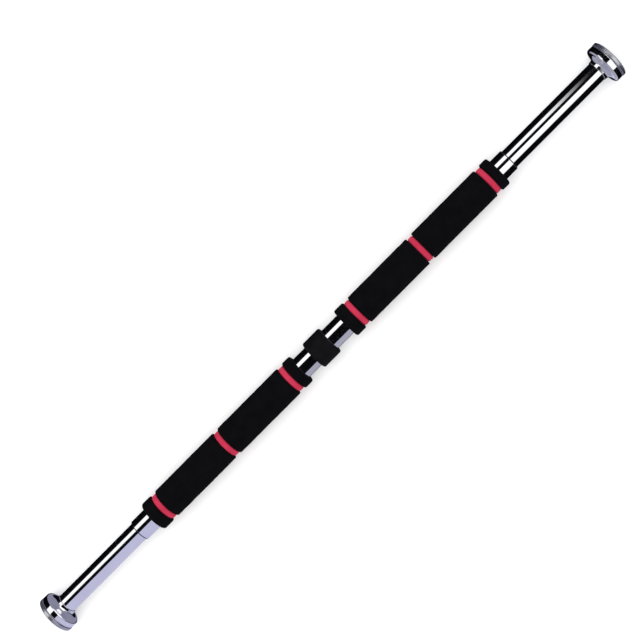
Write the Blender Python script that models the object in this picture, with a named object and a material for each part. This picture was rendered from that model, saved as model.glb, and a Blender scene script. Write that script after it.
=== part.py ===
"""Doorway pull-up bar.

One chrome main tube carries foam grips and a centre collar. A screw-out tube leaves each of its ends
and carries a chrome disc with a rubber face, which is pressed against the door jamb. Inside, a screw
rod runs from the middle of the main tube towards each end, and a nut in the inner end of each
screw-out tube travels on it. The left rod has a left-hand thread and the right rod a right-hand one,
so turning the main tube between two held discs drives both ends out.

The bar lies along X with its axis on the X axis. The origin is midway between the two rubber faces.
Stations along the bar are distances from the middle of the collar, counted outwards on either side.
"""

from math import cos, pi, radians, sin

import bmesh
import bpy

# Driving dimensions, in metres ------------------------------------------------------------------

GAP = 0.0003                      # room left between pieces that touch
SIDES = {"left": -1, "right": 1}
EXTENSION = {"left": 0.143, "right": 0.161}   # bare screw-out tube showing at rest

ROUND = 24                        # facets around a turned piece
NUT_FACETS = 12                   # facets around a drive nut
THREAD_FACETS = 8                 # facets around a screw rod

MAIN_RADIUS = 0.016
MAIN_BORE = 0.0145
MAIN_HALF = 0.3475
MAIN_EDGE = 0.0006                # rounding of the mouth's outer edge
MOUTH_BORE = 0.0152               # widened mouth that takes the bush
MOUTH_DEPTH = 0.010

TUBE_RADIUS = 0.014               # screw-out tube
TUBE_BORE = 0.0125
TUBE_INSIDE = 0.253               # from the hub's neck to the tube's inner end
SOCKET_DEPTH = 0.012              # how far the tube enters the hub

GRIP_RADIUS = 0.0228
GRIP_EDGE = 0.002
RED_RING_RADIUS = 0.0204
RED_RING_EDGE = 0.0012
RED_RING_WIDTH = 0.009
# The sleeves of each side in their order from the middle outwards. The foam is cut and pushed on by hand,
# so that no two grips or end rings are quite the same length.
SLEEVES_START = {"left": 0.0388, "right": 0.0452}
SLEEVES = (("end_ring", "inner"), ("red_ring", "inner"), ("foam_grip", "inner"), ("red_ring", "middle"),
           ("foam_grip", "outer"), ("red_ring", "outer"), ("end_ring", "outer"))
SLEEVE_WIDTHS = {"left": (0.0146, RED_RING_WIDTH, 0.1137, RED_RING_WIDTH, 0.1110, RED_RING_WIDTH, 0.0168),
                 "right": (0.0167, RED_RING_WIDTH, 0.1096, RED_RING_WIDTH, 0.1162, RED_RING_WIDTH, 0.0136)}

COLLAR_RADIUS = 0.0215
COLLAR_EDGE = 0.0028
COLLAR_HALF = 0.0155

LEAD = 0.006                      # travel of a nut in one turn
ROD_CREST = 0.008
ROD_ROOT = 0.0062
GROOVE_AT_ROOT = 0.0009           # half widths of the thread's groove
GROOVE_AT_CREST = 0.0021
THREAD_PLAY = 0.0003              # along the axis, between the nut's ridge and the rod's groove
THREAD_CLEARANCE = 0.0005         # across it
RUN_OUT = 0.003                   # length over which a thread fades at its ends
SHANK_RADIUS = 0.0095
ROD_START = 0.0123
THREAD_START = 0.0812
THREAD_END = 0.2925
SPIGOT_RADIUS = 0.005
ROD_END = 0.3085
WASHER_RADIUS = 0.011
WASHER_WIDTH = 0.0025
STOP_NUT_HALF_FLATS = 0.0085
STOP_NUT_HEIGHT = 0.010

CORE_HALF = 0.030                 # steel core in the middle of the main tube
CORE_WEB = 0.012                  # half of its solid middle
PIN_RADIUS = 0.003
PIN_HALF = 0.0155

NUT_RADIUS = 0.0122
NUT_IN_TUBE = 0.025
NUT_NECK = 0.0105
NUT_NECK_LENGTH = 0.012
NUT_FLANGE = 0.0136
NUT_FLANGE_WIDTH = 0.003

SLIT = radians(8)                 # opening of the split guide ring

BUSH_LIP_RADIUS = 0.0157
BUSH_LIP_END = 0.0013             # outside the mouth

# A disc's pieces, by their distance outwards from the start of the hub's neck.
NECK_START_RADIUS = 0.0149
NECK_RADIUS = 0.0152              # where the neck meets the hollow flare
NECK_EDGE = 0.0003
FLARE_START = 0.003
FLARE_END = 0.0085
FLARE_RADIUS = 0.0247             # where the flare meets the rounded shoulder
SHOULDER_RADIUS = 0.0277
HUB_EDGE = 0.0007
HUB_END = 0.0184
CUP_START = HUB_END + GAP
GROOVE_RADIUS = 0.0265            # bottom of the narrow groove between hub and cup
GROOVE_END = 0.0190
LIP_RADIUS = 0.0281
LIP_START = 0.0196
LIP_EDGE = 0.0011
CUP_FLOOR = 0.0208
CUP_END = 0.0242
PAD_RADIUS = 0.0265
PAD_EDGE = 0.0008
PAD_END = 0.025
SCREW_RADIUS = 0.004
SCREW_HOLE = 0.0044
SCREW_HEAD = 0.007
SCREW_HEAD_END = 0.0230
SCREW_EDGE = 0.0007
SCREW_END = -0.006
PLUG_END = -0.013

COLLAR_X = (EXTENSION["left"] - EXTENSION["right"]) / 2

CHROME = ((0.62, 0.61, 0.64, 1), 0.08, 1.0)
SATIN_METAL = ((0.52, 0.52, 0.54, 1), 0.30, 1.0)
STEEL = ((0.45, 0.44, 0.43, 1), 0.35, 1.0)
BLACK_FOAM = ((0.006, 0.006, 0.007, 1), 0.9, 0.0)
RED_FOAM = ((0.62, 0.055, 0.11, 1), 0.75, 0.0)
BLACK_PLASTIC = ((0.008, 0.008, 0.009, 1), 0.5, 0.0)
WHITE_NYLON = ((0.72, 0.71, 0.66, 1), 0.45, 0.0)
GREY_RUBBER = ((0.10, 0.10, 0.11, 1), 0.8, 0.0)


# Making pieces ----------------------------------------------------------------------------------


def clear_scene():
    for thing in list(bpy.data.objects):
        bpy.data.objects.remove(thing, do_unlink=True)


def add_finish(piece, finish):
    """Give the piece a material of its own, named after it."""
    colour, roughness, metallic = finish
    material = bpy.data.materials.new(piece.name)
    material.use_nodes = True
    shader = material.node_tree.nodes["Principled BSDF"]
    shader.inputs["Base Color"].default_value = colour
    shader.inputs["Roughness"].default_value = roughness
    shader.inputs["Metallic"].default_value = metallic
    piece.data.materials.append(material)


def finish_mesh(bm, name, finish, station, side, parent):
    """Turn a mesh built along +X into an object at its station, mirrored for the left side."""
    for vertex in bm.verts:
        vertex.co.x *= side
    bmesh.ops.recalc_face_normals(bm, faces=bm.faces)
    mesh = bpy.data.meshes.new(name)
    bm.to_mesh(mesh)
    bm.free()
    mesh.shade_smooth()
    mesh.set_sharp_from_angle(angle=radians(30))
    piece = bpy.data.objects.new(name, mesh)
    bpy.context.collection.objects.link(piece)
    add_finish(piece, finish)
    piece.location.x = side * station
    piece.parent = parent
    return piece


def add_axis(name, x, parent=None):
    """An empty on the bar's axis, which pieces are parented to."""
    axis = bpy.data.objects.new(name, None)
    axis.empty_display_size = 0.02
    bpy.context.collection.objects.link(axis)
    axis.location.x = x
    axis.parent = parent
    return axis


def add_ring(bm, s, radius, facets, angle=2 * pi):
    """Vertices around the axis at distance s, over the whole turn or a part of it."""
    steps = facets if angle == 2 * pi else facets + 1
    turns = [i * angle / facets for i in range(steps)]
    return [bm.verts.new((s, radius * cos(a), radius * sin(a))) for a in turns]


def bridge(bm, low, high, closed=True):
    """Faces between two rings of vertices."""
    count = len(low)
    for i in range(count if closed else count - 1):
        j = (i + 1) % count
        bm.faces.new((low[i], low[j], high[j], high[i]))


def turned(name, outline, finish, parent, station=0, side=1, facets=ROUND, hollow=True):
    """A turned piece from its outline of (s, radius): a closed outline if hollow, else capped."""
    bm = bmesh.new()
    rings = [add_ring(bm, s, radius, facets) for s, radius in outline]
    for low, high in zip(rings, rings[1:]):
        bridge(bm, low, high)
    if hollow:
        bridge(bm, rings[-1], rings[0])
    else:
        bm.faces.new(rings[0])
        bm.faces.new(rings[-1])
    return finish_mesh(bm, name, finish, station, side, parent)


def sleeve(half, bore, radius, edge):
    """Outline of a sleeve about its middle, with its outer edges cut back by edge."""
    return [(-half, bore), (-half, radius - edge), (edge - half, radius),
            (half - edge, radius), (half, radius - edge), (half, bore)]


def soft_sleeve(half, bore, radius, edge):
    """The same with rounder outer edges, as an arc of two chords."""
    bend = edge * (1 - cos(pi / 4))
    return [(-half, bore), (-half, radius - edge), (bend - half, radius - bend), (edge - half, radius),
            (half - edge, radius), (half - bend, radius - bend), (half, radius - edge), (half, bore)]


def quarter_turn(steps, first=0):
    """The angles of a quarter turn, from its first step on."""
    return [i / steps * pi / 2 for i in range(first, steps + 1)]


def rod_thread():
    """One pitch of the rod, as (offset from the groove's middle, radius)."""
    return [(-GROOVE_AT_CREST, ROD_CREST), (-GROOVE_AT_ROOT, ROD_ROOT),
            (GROOVE_AT_ROOT, ROD_ROOT), (GROOVE_AT_CREST, ROD_CREST)]


def nut_thread():
    """One pitch of the nut: a ridge that follows the rod's groove with play all round."""
    slope = (GROOVE_AT_CREST - GROOVE_AT_ROOT) / (ROD_CREST - ROD_ROOT)
    tip = GROOVE_AT_ROOT + slope * THREAD_CLEARANCE - THREAD_PLAY
    base = GROOVE_AT_CREST + slope * THREAD_CLEARANCE - THREAD_PLAY
    inner = ROD_ROOT + THREAD_CLEARANCE
    outer = ROD_CREST + THREAD_CLEARANCE
    return [(-base, outer), (-tip, inner), (tip, inner), (base, outer)]


def threaded_wall(bm, start, end, pitch, plain_radius, facets, station=0):
    """A helical wall from start to end, and its first and last ring.

    Each facet's column of vertices starts a little further along than the one before, so that one turn
    moves it on by a lead. The first and the last lead are plain, and the thread fades into them.
    """
    first = int((start + GROOVE_AT_CREST) / LEAD + 0.5)
    last = int((end - GROOVE_AT_CREST) / LEAD - 1.5)
    low_end = (first + 1.5) * LEAD - GROOVE_AT_CREST
    high_end = (last + 0.5) * LEAD + GROOVE_AT_CREST

    def fade(s):
        return max(0, min(1, (s - low_end) / RUN_OUT, (high_end - s) / RUN_OUT))

    columns = []
    for i in range(facets):
        angle = 2 * pi * i / facets
        column = []
        for turn in range(first, last + 1):
            for offset, radius in pitch:
                s = (turn + i / facets + 0.5) * LEAD + offset
                r = plain_radius + (radius - plain_radius) * fade(s)
                column.append(bm.verts.new((s - station, r * cos(angle), r * sin(angle))))
        columns.append(column)
    low = add_ring(bm, start - station, plain_radius, facets)
    high = add_ring(bm, end - station, plain_radius, facets)
    top = len(columns[0]) - 1
    lag = len(pitch)
    for i in range(facets - 1):
        here, there = columns[i], columns[i + 1]
        bm.faces.new((low[i], low[i + 1], there[0], here[0]))
        for k in range(top):
            bm.faces.new((here[k], there[k], there[k + 1]))
            bm.faces.new((here[k], there[k + 1], here[k + 1]))
        bm.faces.new((here[top], there[top], high[i + 1], high[i]))
    # the last column meets the first one a lead further on
    here, there = columns[-1], columns[0]
    bm.faces.new((low[-1], low[0], there[0], here[0]))
    for k in range(lag):
        bm.faces.new((here[0], there[k], there[k + 1]))
    for k in range(top - lag):
        bm.faces.new((here[k], there[k + lag], there[k + lag + 1]))
        bm.faces.new((here[k], there[k + lag + 1], here[k + 1]))
    for k in range(top - lag, top):
        bm.faces.new((there[top], here[k + 1], here[k]))
    bm.faces.new((here[top], there[top], high[0], high[-1]))
    return low, high


# The main bar -----------------------------------------------------------------------------------


def add_pin_hole(piece, cutter):
    cut = piece.modifiers.new("pin hole", "BOOLEAN")
    cut.operation = "DIFFERENCE"
    cut.solver = "EXACT"
    cut.object = cutter


def make_pin(name, radius, half, finish, parent):
    """An upright pin across the middle of the bar."""
    pin = turned(name, [(-half, radius), (half, radius)], finish, parent, facets=12, hollow=False)
    pin.rotation_euler.y = pi / 2
    return pin


def make_main_tube(parent):
    """The chrome tube, with a widened mouth at each end for its bush."""
    shelf = MAIN_HALF - MOUTH_DEPTH
    outline = sleeve(MAIN_HALF, MOUTH_BORE, MAIN_RADIUS, MAIN_EDGE)
    outline += [(shelf, MOUTH_BORE), (shelf, MAIN_BORE), (-shelf, MAIN_BORE), (-shelf, MOUTH_BORE)]
    return turned("main_tube", outline, CHROME, parent)


def make_core(parent):
    """The steel core pinned in the middle of the tube, with a blind bore for each screw rod."""
    radius = MAIN_BORE - GAP
    bore = SHANK_RADIUS + GAP
    outline = [(-CORE_WEB, bore), (-CORE_HALF, bore), (-CORE_HALF, radius),
               (CORE_HALF, radius), (CORE_HALF, bore), (CORE_WEB, bore)]
    return turned("centre_core", outline, STEEL, parent, hollow=False)


def make_centre(parent):
    cutter = make_pin("pin_cutter", PIN_RADIUS + GAP, 1.5 * MAIN_RADIUS, STEEL, parent)
    cutter.hide_render = True
    cutter.display_type = "WIRE"
    for piece in (make_main_tube(parent), make_core(parent)):
        add_pin_hole(piece, cutter)
    make_pin("core_pin", PIN_RADIUS, PIN_HALF, STEEL, parent)
    collar = soft_sleeve(COLLAR_HALF, MAIN_RADIUS + GAP, COLLAR_RADIUS, COLLAR_EDGE)
    turned("centre_collar", collar, BLACK_PLASTIC, parent)


def make_grips(word, side, parent):
    """The sleeves of one side, pushed on one against the next, from the middle outwards."""
    bore = MAIN_RADIUS + GAP
    start = SLEEVES_START[word]
    for (kind, place), width in zip(SLEEVES, SLEEVE_WIDTHS[word]):
        half = (width - GAP) / 2
        if kind == "red_ring":
            outline, finish = sleeve(half, bore, RED_RING_RADIUS, RED_RING_EDGE), RED_FOAM
        else:
            outline, finish = soft_sleeve(half, bore, GRIP_RADIUS, GRIP_EDGE), BLACK_FOAM
        turned(f"{kind}_{word}_{place}", outline, finish, parent, start + width / 2, side)
        start += width


def make_mouth_bush(word, side, parent):
    """The plastic bush in the tube's mouth. Its thin lip covers the tube's end."""
    bore = TUBE_RADIUS + GAP
    barrel = MOUTH_BORE - GAP
    inner = GAP - MOUTH_DEPTH
    outline = [(inner, bore), (inner, barrel), (GAP, barrel), (GAP, BUSH_LIP_RADIUS),
               (BUSH_LIP_END, BUSH_LIP_RADIUS), (BUSH_LIP_END, bore)]
    turned(f"mouth_bush_{word}", outline, BLACK_PLASTIC, parent, MAIN_HALF, side)


def make_screw_rod(word, side, parent):
    """A thick shank fixed in the core, the thread, and a thin end for the stop washer and its nut."""
    bm = bmesh.new()
    low, high = threaded_wall(bm, THREAD_START, THREAD_END, rod_thread(), ROD_ROOT, THREAD_FACETS, ROD_START)
    shank = THREAD_START - ROD_START
    rings = [add_ring(bm, s, SHANK_RADIUS, THREAD_FACETS) for s in (0, shank)]
    bm.faces.new(rings[0])
    bridge(bm, rings[0], rings[1])
    bridge(bm, rings[1], low)
    spigot = [add_ring(bm, s - ROD_START, SPIGOT_RADIUS, THREAD_FACETS) for s in (THREAD_END, ROD_END)]
    bridge(bm, high, spigot[0])
    bridge(bm, spigot[0], spigot[1])
    bm.faces.new(spigot[1])
    finish_mesh(bm, f"screw_rod_{word}", STEEL, ROD_START, side, parent)


def make_rod_stop(word, side, parent):
    """The washer that stops the drive nut, and the hexagon nut that holds it on the rod's end."""
    bore = SPIGOT_RADIUS + GAP
    washer = THREAD_END + GAP
    outline = [(0, bore), (0, WASHER_RADIUS), (WASHER_WIDTH, WASHER_RADIUS), (WASHER_WIDTH, bore)]
    turned(f"stop_washer_{word}", outline, STEEL, parent, washer, side)

    bm = bmesh.new()
    facets = 12
    rings = [add_ring(bm, s, bore, facets) for s in (0, STOP_NUT_HEIGHT)]
    hexes = []
    for s in (0, STOP_NUT_HEIGHT):
        hexes.append(add_ring(bm, s, STOP_NUT_HALF_FLATS, facets))
        for corner in hexes[-1][::2]:
            corner.co.yz = [c / cos(pi / 6) for c in corner.co.yz]
    bridge(bm, rings[0], hexes[0])
    bridge(bm, hexes[0], hexes[1])
    bridge(bm, hexes[1], rings[1])
    bridge(bm, rings[1], rings[0])
    finish_mesh(bm, f"stop_nut_{word}", STEEL, washer + WASHER_WIDTH + GAP, side, parent)


# One screw-out end ------------------------------------------------------------------------------


def make_guide_ring(word, side, parent):
    """The split nylon ring on the drive nut's neck. It slides in the main tube and doesn't turn."""
    length = NUT_NECK_LENGTH - 2 * GAP
    bore = NUT_NECK + GAP
    radius = MAIN_BORE - GAP
    bm = bmesh.new()
    angle = 2 * pi - SLIT
    outline = [(-length, bore), (-length, radius), (0, radius), (0, bore)]
    rings = [add_ring(bm, s - GAP, r, ROUND, angle) for s, r in outline]
    for low, high in zip(rings, rings[1:] + rings[:1]):
        bridge(bm, low, high, closed=False)
    bm.faces.new([ring[0] for ring in rings])
    bm.faces.new([ring[-1] for ring in rings])
    finish_mesh(bm, f"guide_ring_{word}", WHITE_NYLON, 0, side, parent)


def make_drive_nut(word, side, parent, tube_end):
    """The nut pressed into the tube's inner end, with a neck and a flange that keep the guide ring."""
    start = tube_end - NUT_NECK_LENGTH - NUT_FLANGE_WIDTH
    end = tube_end + NUT_IN_TUBE
    bm = bmesh.new()
    plain = ROD_CREST + THREAD_CLEARANCE
    low, high = threaded_wall(bm, start, end, nut_thread(), plain, NUT_FACETS, tube_end)
    neck = start - tube_end + NUT_FLANGE_WIDTH
    outline = [(start - tube_end, NUT_FLANGE), (neck, NUT_FLANGE), (neck, NUT_NECK),
               (GAP, NUT_NECK), (GAP, NUT_RADIUS), (NUT_IN_TUBE, NUT_RADIUS)]
    rings = [add_ring(bm, s, r, NUT_FACETS) for s, r in outline]
    bridge(bm, low, rings[0])
    for inner, outer in zip(rings, rings[1:]):
        bridge(bm, inner, outer)
    bridge(bm, rings[-1], high)
    finish_mesh(bm, f"drive_nut_{word}", STEEL, 0, side, parent)


def make_extension_tube(word, side, parent):
    length = TUBE_INSIDE + SOCKET_DEPTH
    outline = [(0, TUBE_BORE), (0, TUBE_RADIUS), (length, TUBE_RADIUS), (length, TUBE_BORE)]
    turned(f"extension_tube_{word}", outline, CHROME, parent, 0, side)


def make_end_hub(word, side, parent, neck):
    """The chrome hub: a thin neck around the tube, a hollow flare and a rounded shoulder."""
    socket = TUBE_RADIUS + GAP
    floor = SOCKET_DEPTH + 2 * GAP
    outline = [(0, socket), (0, NECK_START_RADIUS - NECK_EDGE), (NECK_EDGE, NECK_START_RADIUS)]
    for turn in quarter_turn(4):
        outline.append((FLARE_START + (FLARE_END - FLARE_START) * sin(turn),
                        NECK_RADIUS + (FLARE_RADIUS - NECK_RADIUS) * (1 - cos(turn))))
    rounding = SHOULDER_RADIUS - FLARE_RADIUS
    for turn in quarter_turn(3, first=1):
        outline.append((FLARE_END + rounding * (1 - cos(turn)), FLARE_RADIUS + rounding * sin(turn)))
    outline += [(HUB_END - HUB_EDGE, SHOULDER_RADIUS), (HUB_END, SHOULDER_RADIUS - HUB_EDGE),
                (HUB_END, SCREW_HOLE), (floor, SCREW_HOLE), (floor, socket)]
    turned(f"end_hub_{word}", outline, CHROME, parent, neck, side)


def make_rim_cup(word, side, parent, neck):
    """The satin cup in front of the hub: a groove, a broad rounded lip and the pad's recess."""
    recess = PAD_RADIUS + GAP
    bend = LIP_EDGE * (1 - cos(pi / 4))
    outline = [(CUP_START, SCREW_HOLE), (CUP_START, GROOVE_RADIUS), (GROOVE_END, GROOVE_RADIUS),
               (LIP_START, LIP_RADIUS), (CUP_END - LIP_EDGE, LIP_RADIUS), (CUP_END - bend, LIP_RADIUS - bend),
               (CUP_END, LIP_RADIUS - LIP_EDGE), (CUP_END, recess), (CUP_FLOOR, recess),
               (CUP_FLOOR, SCREW_HOLE)]
    turned(f"rim_cup_{word}", outline, SATIN_METAL, parent, neck, side)


def make_rubber_pad(word, side, parent, neck):
    """The rubber face, hollowed at the back over the screw's head."""
    back = CUP_FLOOR + GAP
    hollow = SCREW_HEAD + 3 * GAP
    depth = SCREW_HEAD_END + GAP
    outline = [(depth, hollow), (back, hollow), (back, PAD_RADIUS), (PAD_END - PAD_EDGE, PAD_RADIUS),
               (PAD_END, PAD_RADIUS - PAD_EDGE)]
    turned(f"rubber_pad_{word}", outline, GREY_RUBBER, parent, neck, side, hollow=False)


def make_clamp_screw(word, side, parent, neck):
    """The screw that clamps the cup and the hub onto the tube's plug."""
    seat = CUP_FLOOR + GAP
    outline = [(SCREW_END, SCREW_RADIUS), (seat, SCREW_RADIUS), (seat, SCREW_HEAD),
               (SCREW_HEAD_END - SCREW_EDGE, SCREW_HEAD), (SCREW_HEAD_END, SCREW_HEAD - SCREW_EDGE)]
    turned(f"clamp_screw_{word}", outline, STEEL, parent, neck, side, facets=16, hollow=False)


def make_tube_plug(word, side, parent, neck):
    """The steel plug fixed in the tube's outer end, bored through for the clamp screw."""
    radius = TUBE_BORE - GAP
    outline = [(PLUG_END, SCREW_HOLE), (PLUG_END, radius), (SOCKET_DEPTH, radius), (SOCKET_DEPTH, SCREW_HOLE)]
    turned(f"tube_plug_{word}", outline, STEEL, parent, neck, side)


def make_end(word, side, bar):
    """One end: its guide ring slides, and the tube with its nut, plug, disc and pad turns in it."""
    neck_station = MAIN_HALF + EXTENSION[word]
    tube_end = neck_station - TUBE_INSIDE
    slide = add_axis(f"{word}_slide_axis", side * tube_end, bar)
    make_guide_ring(word, side, slide)
    turn = add_axis(f"{word}_turn_axis", 0, slide)
    make_drive_nut(word, side, turn, tube_end)
    make_extension_tube(word, side, turn)
    neck = TUBE_INSIDE
    make_tube_plug(word, side, turn, neck)
    make_end_hub(word, side, turn, neck)
    make_rim_cup(word, side, turn, neck)
    make_clamp_screw(word, side, turn, neck)
    make_rubber_pad(word, side, turn, neck)


def main():
    clear_scene()
    bar = add_axis("main_bar_axis", COLLAR_X)
    make_centre(bar)
    for word, side in SIDES.items():
        make_grips(word, side, bar)
        make_mouth_bush(word, side, bar)
        make_screw_rod(word, side, bar)
        make_rod_stop(word, side, bar)
        make_end(word, side, bar)


main()
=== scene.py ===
"""The looks of a doorway pull-up bar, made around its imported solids.

The bar lies on a pale floor and is seen from nearly straight above, running from lower left to upper right.
Every turned piece is made from an outline of (station along the bar, radius) spun about the X axis.
"""

from math import atan2, cos, pi, radians, sin, tan

import bmesh
import bpy
from mathutils import Matrix, Vector, noise


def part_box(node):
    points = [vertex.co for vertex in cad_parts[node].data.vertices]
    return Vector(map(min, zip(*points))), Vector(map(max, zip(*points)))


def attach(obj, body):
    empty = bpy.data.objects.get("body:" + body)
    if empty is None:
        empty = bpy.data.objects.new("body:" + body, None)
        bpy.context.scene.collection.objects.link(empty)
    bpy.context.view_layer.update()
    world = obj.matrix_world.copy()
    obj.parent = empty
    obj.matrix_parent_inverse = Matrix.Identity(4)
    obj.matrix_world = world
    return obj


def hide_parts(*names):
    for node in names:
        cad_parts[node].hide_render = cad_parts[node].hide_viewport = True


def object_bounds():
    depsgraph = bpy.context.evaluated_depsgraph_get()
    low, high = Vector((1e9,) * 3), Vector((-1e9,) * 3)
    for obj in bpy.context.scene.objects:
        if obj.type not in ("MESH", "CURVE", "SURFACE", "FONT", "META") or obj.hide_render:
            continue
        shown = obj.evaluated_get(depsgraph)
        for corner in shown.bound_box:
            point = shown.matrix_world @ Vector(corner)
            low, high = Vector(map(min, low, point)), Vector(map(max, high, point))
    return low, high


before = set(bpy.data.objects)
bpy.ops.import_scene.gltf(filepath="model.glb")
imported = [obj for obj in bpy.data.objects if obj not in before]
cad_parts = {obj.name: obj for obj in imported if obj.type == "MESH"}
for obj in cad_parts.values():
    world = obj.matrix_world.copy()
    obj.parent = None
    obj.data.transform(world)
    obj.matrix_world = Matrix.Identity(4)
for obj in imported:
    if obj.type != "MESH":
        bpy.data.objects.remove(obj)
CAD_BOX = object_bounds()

SIDES = {"left": -1, "right": 1}
MM = 0.001
ROUND = 128                       # facets around a turned piece
DISC_ROUND = 160                  # and around a hub or a cup
HOLD = 0.15 * MM                  # keeps the shading of a straight run flat next to a rounded edge


# Meshes -----------------------------------------------------------------------------------------


def span(node):
    """A node's lowest and highest station along the bar, and its outer radius."""
    low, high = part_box(node)
    return low.x, high.x, high.y


def fillet(corners, steps=6):
    """Round the corners of a closed outline given as (s, radius, rounding)."""
    points = []
    for i, (s, r, rounding) in enumerate(corners):
        here = Vector((s, r))
        if rounding == 0:
            points.append(here)
            continue
        back = (Vector(corners[i - 1][:2]) - here).normalized()
        ahead = (Vector(corners[(i + 1) % len(corners)][:2]) - here).normalized()
        half = back.angle(ahead) / 2
        centre = here + (back + ahead).normalized() * rounding / sin(half)
        first = here + back * rounding / tan(half) - centre
        last = here + ahead * rounding / tan(half) - centre
        start = atan2(first.y, first.x)
        turn = (atan2(last.y, last.x) - start + pi) % (2 * pi) - pi
        for k in range(steps + 1):
            angle = start + turn * k / steps
            points.append(centre + rounding * Vector((cos(angle), sin(angle))))
    return points


def with_holds(points):
    """The closed outline with a point just inside each end of every long straight run."""
    held = []
    for here, there in zip(points, points[1:] + points[:1]):
        held.append(here)
        run = there - here
        if run.length > 6 * HOLD:
            held.append(here + run.normalized() * HOLD)
            held.append(there - run.normalized() * HOLD)
    return held


def spin(name, points, body, replaced, material, facets=ROUND, shape=None, sharp=40):
    """A ring-shaped piece from its closed outline. shape(s, r, angle) may move a point's radius."""
    mesh = bpy.data.meshes.new(name)
    bm = bmesh.new()
    rings = []
    for s, r in points:
        ring = []
        for i in range(facets):
            angle = 2 * pi * i / facets
            radius = shape(s, r, angle) if shape else r
            ring.append(bm.verts.new((s, radius * cos(angle), radius * sin(angle))))
        rings.append(ring)
    for low, high in zip(rings, rings[1:] + rings[:1]):
        for i in range(facets):
            j = (i + 1) % facets
            bm.faces.new((low[i], low[j], high[j], high[i]))
    bmesh.ops.recalc_face_normals(bm, faces=bm.faces)
    bm.to_mesh(mesh)
    bm.free()
    mesh.shade_smooth()
    mesh.set_sharp_from_angle(angle=radians(sharp))
    mesh.materials.append(material)
    piece = bpy.data.objects.new(name, mesh)
    bpy.context.scene.collection.objects.link(piece)
    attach(piece, body)
    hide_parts(replaced)
    return piece


# Materials --------------------------------------------------------------------------------------


def node_adder(tree):
    """A helper that adds a node to the tree, with its inputs linked or set."""

    def add(kind, inputs=(), **settings):
        node = tree.nodes.new(kind)
        for key, value in settings.items():
            setattr(node, key, value)
        for key, value in dict(inputs).items():
            if isinstance(value, bpy.types.NodeSocket):
                tree.links.new(value, node.inputs[key])
            else:
                node.inputs[key].default_value = value
        return node

    return add


def new_material(name):
    """A material, its shader, the way to link its nodes and the way to add them."""
    material = bpy.data.materials.new(name)
    material.use_nodes = True
    tree = material.node_tree
    return material, tree.nodes["Principled BSDF"], tree.links.new, node_adder(tree)


def object_space(add, scale=(1, 1, 1)):
    """Coordinates fixed to the piece, stretched by scale."""
    where = add("ShaderNodeTexCoord")
    return add("ShaderNodeMapping", {"Vector": where.outputs["Object"], "Scale": scale}).outputs["Vector"]


def noise_value(add, vector, size, detail=2.0, rough=0.5):
    """Noise between 0 and 1 whose features measure about size metres."""
    node = add("ShaderNodeTexNoise", {"Vector": vector, "Scale": 1 / size, "Detail": detail,
                                      "Roughness": rough})
    return node.outputs["Fac"]


def ranged(add, value, low, high, start=0.3, end=0.7):
    """A value spread from low to high."""
    node = add("ShaderNodeMapRange", {"Value": value, "From Min": start, "From Max": end,
                                      "To Min": low, "To Max": high})
    return node.outputs["Result"]


def mixed(add, share, first, second):
    """A colour between two others."""
    return add("ShaderNodeMix", {0: share, 6: first, 7: second}, data_type="RGBA").outputs[2]


def chrome():
    """Bright plated chrome: a near mirror with faint polishing lines and handling haze."""
    material, shader, link, add = new_material("mirror_chrome")
    plain = object_space(add)
    lines = noise_value(add, object_space(add, (0.04, 1, 1)), 0.5 * MM, 3.0)
    haze = noise_value(add, plain, 22 * MM, 4.0, 0.6)
    colour = mixed(add, ranged(add, haze, 0, 1), (0.86, 0.86, 0.885, 1), (0.92, 0.92, 0.935, 1))
    link(colour, shader.inputs["Base Color"])
    hazy = ranged(add, haze, 0.02, 0.05)
    roughness = add("ShaderNodeMath", {0: hazy, 1: ranged(add, lines, 0.0, 0.02)}, operation="ADD")
    link(roughness.outputs[0], shader.inputs["Roughness"])
    bump = add("ShaderNodeBump", {"Height": lines, "Strength": 0.02, "Distance": 0.02 * MM})
    link(bump.outputs["Normal"], shader.inputs["Normal"])
    shader.inputs["Metallic"].default_value = 1.0
    return material


def satin():
    """Satin-finished metal, brushed around the axis, with darker handled patches."""
    material, shader, link, add = new_material("satin_metal")
    brushing = noise_value(add, object_space(add, (1, 0.04, 0.04)), 0.25 * MM, 3.0)
    patches = noise_value(add, object_space(add), 8 * MM, 4.0)
    link(mixed(add, ranged(add, patches, 0, 1), (0.50, 0.51, 0.54, 1), (0.66, 0.67, 0.70, 1)),
         shader.inputs["Base Color"])
    handled = ranged(add, patches, 0.20, 0.28)
    roughness = add("ShaderNodeMath", {0: handled, 1: ranged(add, brushing, 0.0, 0.06)}, operation="ADD")
    link(roughness.outputs[0], shader.inputs["Roughness"])
    bump = add("ShaderNodeBump", {"Height": brushing, "Strength": 0.25, "Distance": 0.02 * MM})
    link(bump.outputs["Normal"], shader.inputs["Normal"])
    shader.inputs["Metallic"].default_value = 1.0
    return material


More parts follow.
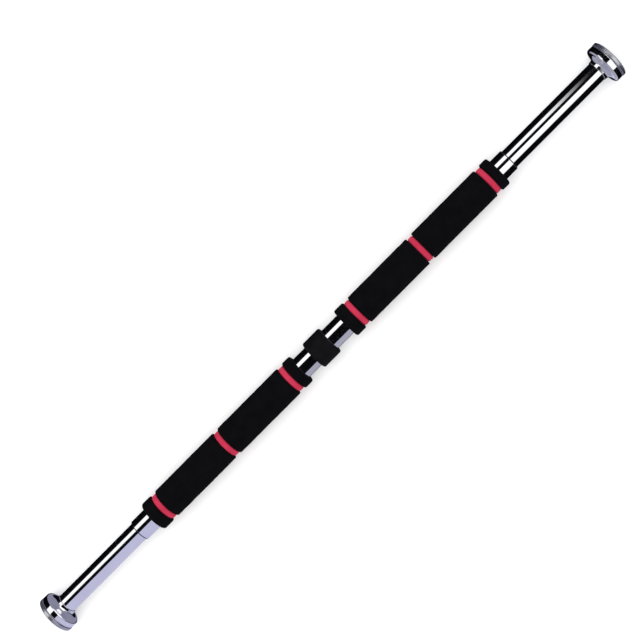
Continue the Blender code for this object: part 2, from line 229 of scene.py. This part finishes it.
def foam(name, deep, light):
    """Closed-cell foam: a dense matt skin of fine pores."""
    material, shader, link, add = new_material(name)
    plain = object_space(add)
    pores = add("ShaderNodeTexVoronoi", {"Vector": plain, "Scale": 1 / (0.7 * MM)}, feature="F1")
    grain = noise_value(add, plain, 0.35 * MM, 3.0)
    cloud = noise_value(add, plain, 14 * MM, 3.0)
    clouded = ranged(add, cloud, 0, 0.6)
    share = add("ShaderNodeMath", {0: clouded, 1: ranged(add, grain, 0, 0.4)}, operation="ADD")
    link(mixed(add, share.outputs[0], deep, light), shader.inputs["Base Color"])
    link(ranged(add, grain, 0.78, 0.95), shader.inputs["Roughness"])
    height = add("ShaderNodeMath", {0: pores.outputs["Distance"], 1: grain}, operation="ADD")
    bump = add("ShaderNodeBump", {"Height": height.outputs[0], "Strength": 0.6, "Distance": 0.12 * MM})
    link(bump.outputs["Normal"], shader.inputs["Normal"])
    shader.inputs["Specular IOR Level"].default_value = 0.08
    return material


def moulded_plastic(name, dark, light, roughness):
    """Moulded black plastic with the fine texture of its mould and paler rubbed spots."""
    material, shader, link, add = new_material(name)
    plain = object_space(add)
    texture = noise_value(add, plain, 0.45 * MM, 2.0)
    rub = noise_value(add, plain, 9 * MM, 4.0)
    link(mixed(add, ranged(add, rub, 0, 1), dark, light), shader.inputs["Base Color"])
    link(ranged(add, rub, roughness - 0.06, roughness + 0.06), shader.inputs["Roughness"])
    bump = add("ShaderNodeBump", {"Height": texture, "Strength": 0.35, "Distance": 0.04 * MM})
    link(bump.outputs["Normal"], shader.inputs["Normal"])
    shader.inputs["Specular IOR Level"].default_value = 0.1
    return material


def rubber():
    """Grey moulded rubber with random dusty patches."""
    material, shader, link, add = new_material("grey_rubber")
    plain = object_space(add)
    dust = noise_value(add, plain, 6 * MM, 5.0, 0.65)
    grain = noise_value(add, plain, 0.3 * MM, 2.0)
    link(mixed(add, ranged(add, dust, 0, 1), (0.055, 0.055, 0.06, 1), (0.10, 0.10, 0.105, 1)),
         shader.inputs["Base Color"])
    link(ranged(add, grain, 0.7, 0.9), shader.inputs["Roughness"])
    bump = add("ShaderNodeBump", {"Height": grain, "Strength": 0.4, "Distance": 0.05 * MM})
    link(bump.outputs["Normal"], shader.inputs["Normal"])
    return material


def oiled_steel():
    """Plain turned steel with lathe lines around it and darker oiled patches."""
    material, shader, link, add = new_material("oiled_steel")
    lathe = noise_value(add, object_space(add, (1, 0.05, 0.05)), 0.25 * MM, 2.0)
    oil = noise_value(add, object_space(add), 7 * MM, 4.0)
    link(mixed(add, ranged(add, oil, 0, 1), (0.30, 0.29, 0.27, 1), (0.50, 0.49, 0.47, 1)),
         shader.inputs["Base Color"])
    link(ranged(add, oil, 0.25, 0.42), shader.inputs["Roughness"])
    bump = add("ShaderNodeBump", {"Height": lathe, "Strength": 0.3, "Distance": 0.03 * MM})
    link(bump.outputs["Normal"], shader.inputs["Normal"])
    shader.inputs["Metallic"].default_value = 1.0
    return material


def nylon():
    """Natural nylon, waxy and a little yellowed."""
    material, shader, link, add = new_material("natural_nylon")
    plain = object_space(add)
    tone = noise_value(add, plain, 5 * MM, 3.0)
    link(mixed(add, ranged(add, tone, 0, 1), (0.70, 0.68, 0.60, 1), (0.80, 0.79, 0.73, 1)),
         shader.inputs["Base Color"])
    link(ranged(add, tone, 0.35, 0.5), shader.inputs["Roughness"])
    return material


CHROME = chrome()
SATIN = satin()
BLACK_FOAM = foam("black_foam", (0.0008, 0.0008, 0.0014, 1), (0.0024, 0.0024, 0.0034, 1))
RED_FOAM = foam("crimson_foam", (0.36, 0.018, 0.045, 1), (0.52, 0.036, 0.08, 1))
BLACK_PLASTIC = moulded_plastic("black_plastic", (0.0015, 0.0015, 0.002, 1), (0.0035, 0.0035, 0.0045, 1), 0.6)
RUBBER = rubber()
STEEL = oiled_steel()
NYLON = nylon()


# Pieces -----------------------------------------------------------------------------------------


GAP = 0.3 * MM
SQUEEZE = 0.15 * MM               # by which each foam sleeve is pressed against the next
WALL = 1.5 * MM                   # of both chrome tubes
MOUTH_DEPTH = 10 * MM
MOUTH_EDGE = 0.1 * MM             # rounding of the main tube's ends
MOUTH_BORE = 15.2 * MM
COLLAR_EDGE = 2.8 * MM            # rounding of the centre collar
BUSH_LIP = 1.3 * MM               # of a bush outside the main tube's mouth
SCREW_HOLE = 4.4 * MM
SOCKET_FLOOR = 12.6 * MM          # how far the tube's socket reaches into a hub
NECK_WALL = 1.2 * MM              # of a hub around its tube
FLARE_START = 3 * MM              # outwards from the start of a hub's neck
FLARE_END = 8.5 * MM
SHOULDER_EDGE = 3 * MM            # rounding of a hub's shoulder
GROOVE_DEPTH = 1.6 * MM           # of the groove between hub and cup, below the cup's lip
GROOVE_END = 0.3 * MM             # outwards from the start of a cup
LIP_START = 0.9 * MM
LIP_EDGE = 1.1 * MM               # rounding of a cup's lip
RECESS_DEPTH = 3.4 * MM           # of a cup, for its pad
HEAD_DEPTH = 2.2 * MM             # of a pad's hollow over the screw's head
HEAD_HOLLOW = 7.9 * MM            # radius of that hollow
PAD_GROOVES = 4                   # ring grooves in a pad's face
PAD_GROOVE_START = 3.2 * MM       # inwards from the pad's edge
PAD_GROOVE_STEP = 4.2 * MM
PAD_GROOVE_WIDTH = 1.2 * MM
PAD_GROOVE_DEPTH = 0.7 * MM
PAD_GROOVE_SLOPE = 0.3 * MM       # by which each side of a groove leans
PAD_CENTRE = 0.5 * MM             # radius of the small hole left in the middle of a pad
TUBE_RADIUS = span("extension_tube_left")[2]
MAIN_RADIUS = span("main_tube")[2]


def make_main_tube():
    low, high, radius = span("main_tube")
    corners = [(low, MOUTH_BORE, 0), (low, radius, MOUTH_EDGE), (high, radius, MOUTH_EDGE),
               (high, MOUTH_BORE, 0), (high - MOUTH_DEPTH, MOUTH_BORE, 0),
               (high - MOUTH_DEPTH, radius - WALL, 0),
               (low + MOUTH_DEPTH, radius - WALL, 0), (low + MOUTH_DEPTH, MOUTH_BORE, 0)]
    spin("main_tube_skin", with_holds(fillet(corners)), "main_bar", "main_tube", CHROME)


def soft_sleeve(name, node, material, rounding, waviness, seed):
    """A foam sleeve with soft rounded ends, slightly uneven all over as sliced foam is."""
    low, high, radius = span(node)
    low -= SQUEEZE
    high += SQUEEZE
    bore = MAIN_RADIUS + GAP
    corners = [(low, bore, 0), (low, radius, rounding), (high, radius, rounding), (high, bore, 0)]
    points = fillet(corners, 8)
    outline = []
    for here, there in zip(points, points[1:] + points[:1]):
        steps = max(1, round((there - here).length / (2 * MM)))
        outline += [here.lerp(there, k / steps) for k in range(steps)]

    def uneven(s, r, angle):
        depth = (r - bore) / (radius - bore)
        swell = noise.noise(Vector((s / (12 * MM), 2.2 * cos(angle), 2.2 * sin(angle) + seed)))
        return r + (swell - 0.6) * waviness * max(0, depth)

    piece = spin(name, outline, "main_bar", node, material, shape=uneven, sharp=60)
    return piece


def make_grips(word):
    for n, place in enumerate(("inner", "outer")):
        soft_sleeve(f"foam_sleeve_{word}_{place}", f"foam_grip_{word}_{place}", BLACK_FOAM,
                    2.0 * MM, 0.25 * MM, 7 * n)
        soft_sleeve(f"foam_band_{word}_{place}", f"end_ring_{word}_{place}", BLACK_FOAM,
                    2.6 * MM, 0.15 * MM, 31 + n)
    for n, place in enumerate(("inner", "middle", "outer")):
        soft_sleeve(f"crimson_ring_{word}_{place}", f"red_ring_{word}_{place}", RED_FOAM,
                    2.4 * MM, 0.12 * MM, 53 + n)


def make_collar():
    low, high, radius = span("centre_collar")
    bore = MAIN_RADIUS + GAP
    corners = [(low, bore, 0.3 * MM), (low, radius, COLLAR_EDGE), (high, radius, COLLAR_EDGE),
               (high, bore, 0.3 * MM)]
    spin("centre_collar_skin", with_holds(fillet(corners, 10)), "main_bar", "centre_collar", BLACK_PLASTIC)


def make_bush(word, side):
    node = f"mouth_bush_{word}"
    radius = span(node)[2]
    mouth = side * span("main_tube")[1 if side > 0 else 0]
    bore = TUBE_RADIUS + GAP
    barrel = MOUTH_BORE - GAP
    inner = mouth - MOUTH_DEPTH + GAP
    face = mouth + BUSH_LIP
    corners = [(inner, bore, 0.2 * MM), (inner, barrel, 0.3 * MM), (mouth + GAP, barrel, 0),
               (mouth + GAP, radius, 0.2 * MM), (face, radius, 0.4 * MM), (face, bore, 0.2 * MM)]
    corners = [(side * s, r, rounding) for s, r, rounding in corners]
    spin(f"{node}_skin", with_holds(fillet(corners, 4)), "main_bar", node, BLACK_PLASTIC)


def make_tube(word):
    node = f"extension_tube_{word}"
    low, high, radius = span(node)
    corners = [(low, radius - WALL, 0.2 * MM), (low, radius, 0.3 * MM), (high, radius, 0.3 * MM),
               (high, radius - WALL, 0.2 * MM)]
    spin(f"{node}_skin", with_holds(fillet(corners)), f"{word}_end", node, CHROME)


def make_hub(word, side):
    """The hub's thin neck, hollow flare, rounded shoulder and straight side."""
    node = f"end_hub_{word}"
    low, high, shoulder = span(node)
    start = low if side > 0 else -high
    end = start + high - low
    flare_start = start + FLARE_START
    flare_end = start + FLARE_END
    neck = TUBE_RADIUS + NECK_WALL
    flare_top = shoulder - SHOULDER_EDGE
    corners = [(start, TUBE_RADIUS + GAP, 0.15 * MM), (start, neck - 0.3 * MM, 0.25 * MM)]
    steps = 20
    for k in range(steps + 1):
        turn = k / steps * pi / 2
        corners.append((flare_start + (flare_end - flare_start) * sin(turn),
                        neck + (flare_top - neck) * (1 - cos(turn)), 0))
    steps = 12
    for k in range(1, steps + 1):
        turn = k / steps * pi / 2
        corners.append((flare_end + SHOULDER_EDGE * (1 - cos(turn)),
                        flare_top + SHOULDER_EDGE * sin(turn), 0))
    corners += [(end, shoulder, 0.7 * MM), (end, SCREW_HOLE, 0), (start + SOCKET_FLOOR, SCREW_HOLE, 0),
                (start + SOCKET_FLOOR, TUBE_RADIUS + GAP, 0)]
    corners = [(side * s, r, rounding) for s, r, rounding in corners]
    spin(f"{node}_skin", with_holds(fillet(corners)), f"{word}_end", node, CHROME, facets=DISC_ROUND)


def make_cup(word, side):
    """The cup: a groove behind it, its broad rounded lip and the recess for the pad."""
    node = f"rim_cup_{word}"
    low, high, lip = span(node)
    recess = span(f"rubber_pad_{word}")[2] + GAP
    start = low if side > 0 else -high
    end = high if side > 0 else -low
    groove = lip - GROOVE_DEPTH
    corners = [(start, SCREW_HOLE, 0), (start, groove, 0.1 * MM), (start + GROOVE_END, groove, 0.1 * MM),
               (start + LIP_START, lip, 0.5 * MM), (end, lip, LIP_EDGE), (end, recess, 0.2 * MM),
               (end - RECESS_DEPTH, recess, 0.3 * MM), (end - RECESS_DEPTH, SCREW_HOLE, 0)]
    corners = [(side * s, r, rounding) for s, r, rounding in corners]
    spin(f"{node}_skin", with_holds(fillet(corners)), f"{word}_end", node, SATIN, facets=DISC_ROUND)


def make_pad(word, side):
    """The rubber pad, with a hollow behind it for the screw's head and ring grooves in its face."""
    node = f"rubber_pad_{word}"
    low, high, radius = span(node)
    face = high if side > 0 else -low
    back = low if side > 0 else -high
    hollow_end = back + HEAD_DEPTH
    corners = [(hollow_end, PAD_CENTRE, 0), (hollow_end, HEAD_HOLLOW, 0.3 * MM), (back, HEAD_HOLLOW, 0),
               (back, radius, 0.3 * MM), (face, radius, 0.8 * MM)]
    bottom = face - PAD_GROOVE_DEPTH
    for k in range(PAD_GROOVES):
        outer = radius - PAD_GROOVE_START - PAD_GROOVE_STEP * k
        inner = outer - PAD_GROOVE_WIDTH
        corners += [(face, outer, 0.15 * MM), (bottom, outer - PAD_GROOVE_SLOPE, 0.1 * MM),
                    (bottom, inner + PAD_GROOVE_SLOPE, 0.1 * MM), (face, inner, 0.15 * MM)]
    corners.append((face, PAD_CENTRE, 0))
    corners = [(side * s, r, rounding) for s, r, rounding in corners]
    spin(f"{node}_skin", with_holds(fillet(corners, 4)), f"{word}_end", node, RUBBER)


def finish_inner_pieces():
    """Materials for the pieces inside the tubes, which keep their own solids."""
    for name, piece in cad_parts.items():
        if piece.hide_render:
            continue
        material = NYLON if name.startswith("guide_ring") else STEEL
        piece.data.materials.clear()
        piece.data.materials.append(material)


make_main_tube()
make_collar()
for word, side in SIDES.items():
    make_grips(word)
    make_bush(word, side)
    make_tube(word)
    make_hub(word, side)
    make_cup(word, side)
    make_pad(word, side)
finish_inner_pieces()


# Stage ------------------------------------------------------------------------------------------


# What the chrome mirrors: plain soft panels in a dark studio, painted one over another. Each has one colour,
# a reach along the bar, as a direction's share along X, and two straight edges around the bar, in degrees
# from straight up (0) towards +Y.
DARK = (0.002, 0.002, 0.003)      # the studio itself
WHITE = (1.15, 1.15, 1.15)
LAVENDER = (0.55, 0.55, 0.75)
GREY = (0.40, 0.40, 0.50)
HAZE = (0.35, 0.35, 0.45)
DUSK = (0.25, 0.25, 0.35)
PANELS = [
    {"colour": WHITE, "along": (-0.40, 0.15), "around": (25, 60)},         # a strip light above
    {"colour": LAVENDER, "along": (-0.40, -0.20), "around": (-200, -10)},  # a sheet below the left end
    {"colour": GREY, "along": (-0.20, 0.0), "around": (-150, -65)},        # a sheet below the middle
    {"colour": WHITE, "along": (0.0, 0.25), "around": (-60, -5)},          # a strip light below the right end
    {"colour": HAZE, "along": (-1.2, -0.40), "around": (-200, 200)},       # a wall beyond the left end
    {"colour": WHITE, "along": (-0.80, -0.40), "around": (20, 50)},        # and the light on it
    {"colour": DUSK, "along": (0.25, 1.2), "around": (-200, 200)},         # a wall beyond the right end
    {"colour": WHITE, "along": (0.25, 0.95), "around": (-40, 40)},         # and the light on it
]
DAYLIGHT = 1.25                   # even light of the room on matt surfaces
FLOOR_HALF = 6.0                  # half the floor's width
FLOOR_GAP = 0.2 * MM              # between the floor and the discs
LIGHT_WIDTH = 2.4                 # of the square panel overhead
LIGHT_POWER = 26
LIGHT_PLACE = (-0.3, 0.5, 2.6)
CAMERA_HEIGHT = 1.85
CAMERA_ASIDE = 0.1725             # from the middle of the collar, along the bar
CAMERA_ACROSS = -0.0006           # and across it
CAMERA_LENS = 78.72               # mm
CAMERA_LEAN = (4.57, 0.87)        # degrees off straight down, about Y and then about X
CAMERA_TURN = -45.12              # which lays the bar across the frame's diagonal
PANEL_EDGE = 3                    # softness of a panel's edge around the bar, in degrees
PANEL_END = 0.05                  # and along it


def above(add, value, edge, soft):
    """0 where the value is below the edge and 1 above it."""
    beyond = add("ShaderNodeMath", {0: value, 1: edge}, operation="SUBTRACT")
    step = add("ShaderNodeMapRange", {"Value": beyond.outputs[0], "From Min": -soft / 2,
                                      "From Max": soft / 2}, interpolation_type="SMOOTHSTEP")
    return step.outputs["Result"]


def panel_over(add, behind, panel, x, angle):
    """One panel painted over what is behind it."""
    near, far = panel["along"]
    low, high = panel["around"]
    mask = above(add, angle, low, PANEL_EDGE)
    for value, edge, soft in ((high, angle, PANEL_EDGE), (x, near, PANEL_END), (far, x, PANEL_END)):
        inside = above(add, value, edge, soft)
        mask = add("ShaderNodeMath", {0: mask, 1: inside}, operation="MULTIPLY").outputs[0]
    return mixed(add, mask, behind, (*panel["colour"], 1))


def make_world():
    """Pale to the camera and to matt surfaces, and a studio of panels to the chrome."""
    world = bpy.data.worlds.new("studio")
    bpy.context.scene.world = world
    world.use_nodes = True
    world.node_tree.nodes.clear()
    add = node_adder(world.node_tree)
    where = add("ShaderNodeTexCoord")
    axes = add("ShaderNodeSeparateXYZ", {"Vector": where.outputs["Generated"]})
    around = add("ShaderNodeMath", {0: axes.outputs["Y"], 1: axes.outputs["Z"]}, operation="ARCTAN2")
    angle = add("ShaderNodeMath", {0: around.outputs[0]}, operation="DEGREES").outputs[0]
    studio = (*DARK, 1)
    for panel in PANELS:
        studio = panel_over(add, studio, panel, axes.outputs["X"], angle)
    path = add("ShaderNodeLightPath")
    seen = mixed(add, path.outputs["Is Glossy Ray"], (DAYLIGHT, DAYLIGHT, DAYLIGHT, 1), studio)
    background = add("ShaderNodeBackground", {"Color": seen, "Strength": 1.0})
    add("ShaderNodeOutputWorld", {"Surface": background.outputs["Background"]})


def make_floor():
    """A pale floor under the discs, which the chrome doesn't mirror."""
    bm = bmesh.new()
    bmesh.ops.create_grid(bm, x_segments=1, y_segments=1, size=FLOOR_HALF)
    mesh = bpy.data.meshes.new("floor")
    bm.to_mesh(mesh)
    bm.free()
    floor = bpy.data.objects.new("floor", mesh)
    floor.location.z = CAD_BOX[0].z - FLOOR_GAP
    bpy.context.scene.collection.objects.link(floor)
    material, shader, link, add = new_material("pale_floor")
    shader.inputs["Base Color"].default_value = (0.92, 0.92, 0.92, 1)
    shader.inputs["Roughness"].default_value = 0.9
    shader.inputs["Specular IOR Level"].default_value = 0.1
    path = add("ShaderNodeLightPath")
    clear = add("ShaderNodeBsdfTransparent")
    mix = add("ShaderNodeMixShader", {0: path.outputs["Is Glossy Ray"]})
    link(shader.outputs["BSDF"], mix.inputs[1])
    link(clear.outputs["BSDF"], mix.inputs[2])
    output = material.node_tree.nodes["Material Output"]
    link(mix.outputs["Shader"], output.inputs["Surface"])
    mesh.materials.append(material)


def make_lights():
    """One wide soft panel overhead."""
    light = bpy.data.lights.new("overhead_panel", "AREA")
    light.shape = "RECTANGLE"
    light.size = LIGHT_WIDTH
    light.size_y = LIGHT_WIDTH
    light.energy = LIGHT_POWER
    panel = bpy.data.objects.new("overhead_panel", light)
    panel.location = LIGHT_PLACE
    panel.rotation_euler = (radians(-11), radians(-7), 0)
    panel.visible_glossy = False
    bpy.context.scene.collection.objects.link(panel)


def make_camera():
    """The camera looks down on the bar, which crosses the frame from lower left to upper right."""
    data = bpy.data.cameras.new("camera")
    data.sensor_width = 36
    data.lens = CAMERA_LENS
    camera = bpy.data.objects.new("camera", data)
    bpy.context.scene.collection.objects.link(camera)
    low, high, _ = span("centre_collar")
    place = Matrix.Translation(((low + high) / 2 + CAMERA_ASIDE, CAMERA_ACROSS, CAMERA_HEIGHT))
    about_y, about_x = CAMERA_LEAN
    lean = Matrix.Rotation(radians(about_y), 4, "Y") @ Matrix.Rotation(radians(about_x), 4, "X")
    camera.matrix_world = place @ lean @ Matrix.Rotation(radians(CAMERA_TURN), 4, "Z")
    bpy.context.scene.camera = camera


make_world()
make_floor()
make_lights()
make_camera()
bpy.context.scene.view_settings.view_transform = "Standard"
